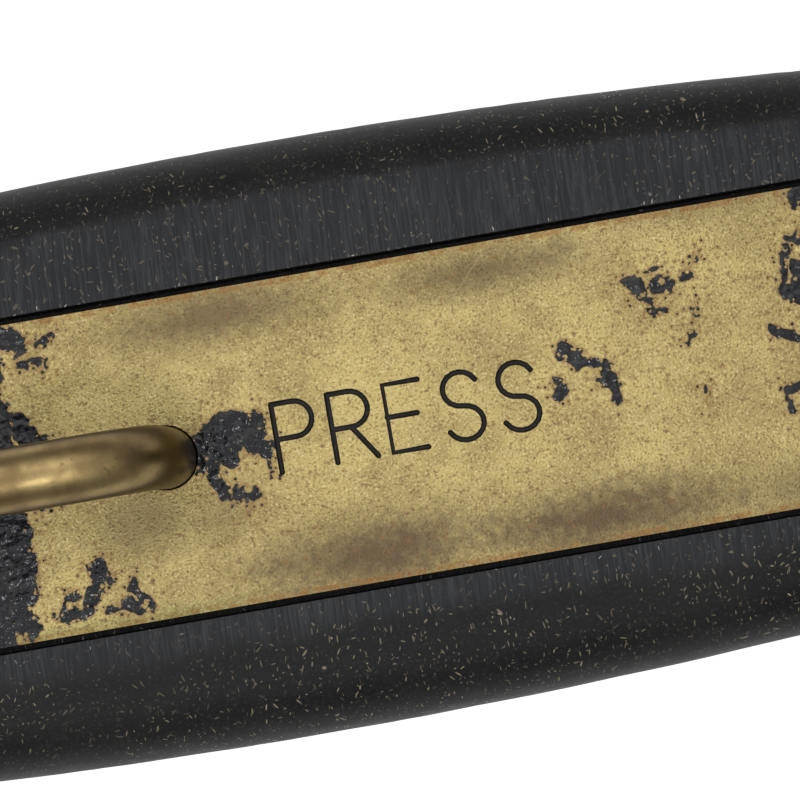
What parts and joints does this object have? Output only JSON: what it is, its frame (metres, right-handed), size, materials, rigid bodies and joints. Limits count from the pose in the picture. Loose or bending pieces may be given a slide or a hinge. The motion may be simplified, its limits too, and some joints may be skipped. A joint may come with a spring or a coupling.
{
  "type": "telephone handset",
  "caption": "Push-to-talk telephone handset: moulded grip with screwed receiver and transmitter caps, a flush cover plate and a sprung press bar that closes a contact switch.",
  "frame": {"origin": "middle of the handset's box, on the plane of the flat back that it lies on", "axes": "+X along the grip towards the transmitter, +Y across the grip, +Z out of the cover plate"},
  "size_m": [0.223, 0.056, 0.0634],
  "materials": {
    "phenolic": "moulded black phenolic, satin, with tan wood-flour flecks",
    "plate_brass": "aged brass with worn black enamel",
    "bar_brass": "aged brass, rubbed by the hand",
    "screw_brass": "aged brass",
    "brass_fittings": "plain brass",
    "insulation": "brown laminated insulation",
    "spring_bronze": "springy bronze",
    "contact_silver": "silver contact metal",
    "spring_steel": "spring wire",
    "plated_steel": "nickel plate",
    "capsule_aluminium": "drawn aluminium",
    "magnet_steel": "dark magnet steel",
    "soft_iron": "soft iron",
    "winding": "enamelled copper wire",
    "lead_cover": "rubber-covered wire",
    "diaphragm_iron": "lacquered thin iron"
  },
  "bodies": {
    "handle": {"handle": "phenolic", "cover_plate": "plate_brass", "plate_screws": "screw_brass", "plate_inserts": "brass_fittings", "leg_bushes": "brass_fittings", "switch_base": "brass_fittings", "switch_insulators": "insulation", "stack_tubes": "insulation", "contact_leaves": "spring_bronze", "contact_buttons": "contact_silver", "clamp_plate": "plated_steel", "stack_screws": "plated_steel", "return_spring": "spring_steel", "receiver_shell": "capsule_aluminium", "receiver_studs": "brass_fittings", "receiver_magnet": "magnet_steel", "receiver_pole_pieces": "soft_iron", "receiver_coils": "winding", "receiver_diaphragm": "diaphragm_iron", "receiver_clamp_ring": "brass_fittings", "receiver_contact_springs": "spring_bronze", "receiver_contact_screws": "brass_fittings", "transmitter_case": "capsule_aluminium", "transmitter_studs": "brass_fittings", "carbon_chamber": "brass_fittings", "transmitter_diaphragm": "capsule_aluminium", "transmitter_clamp_ring": "brass_fittings", "transmitter_contact_springs": "spring_bronze", "transmitter_contact_screws": "brass_fittings", "cord_terminals": "brass_fittings", "internal_leads": "lead_cover"},
    "bar": {"press_bar": "bar_brass", "yoke": "brass_fittings", "yoke_screws": "plated_steel", "lifter": "insulation", "contact_bridge": "brass_fittings", "lifter_rivet": "brass_fittings"},
    "receiver_cap": {"receiver_cap": "phenolic"},
    "transmitter_cap": {"transmitter_cap": "phenolic"}
  },
  "joints": [
    {"name": "bar_press", "type": "slide", "parent": "handle", "child": "bar", "axis": [0, 0, -1], "range_m": [0, 0.003], "stiffness_N_per_m": 800, "springref_m": -0.002, "deforming": ["return_spring"]},
    {"name": "receiver_cap_lift", "type": "slide", "parent": "handle", "child": "receiver_cap", "axis": [0.1736, 0, 0.9848], "range_m": [0, 0.016]},
    {"name": "transmitter_cap_lift", "type": "slide", "parent": "handle", "child": "transmitter_cap", "axis": [-0.3746, 0, 0.9272], "range_m": [0, 0.016]}
  ]
}
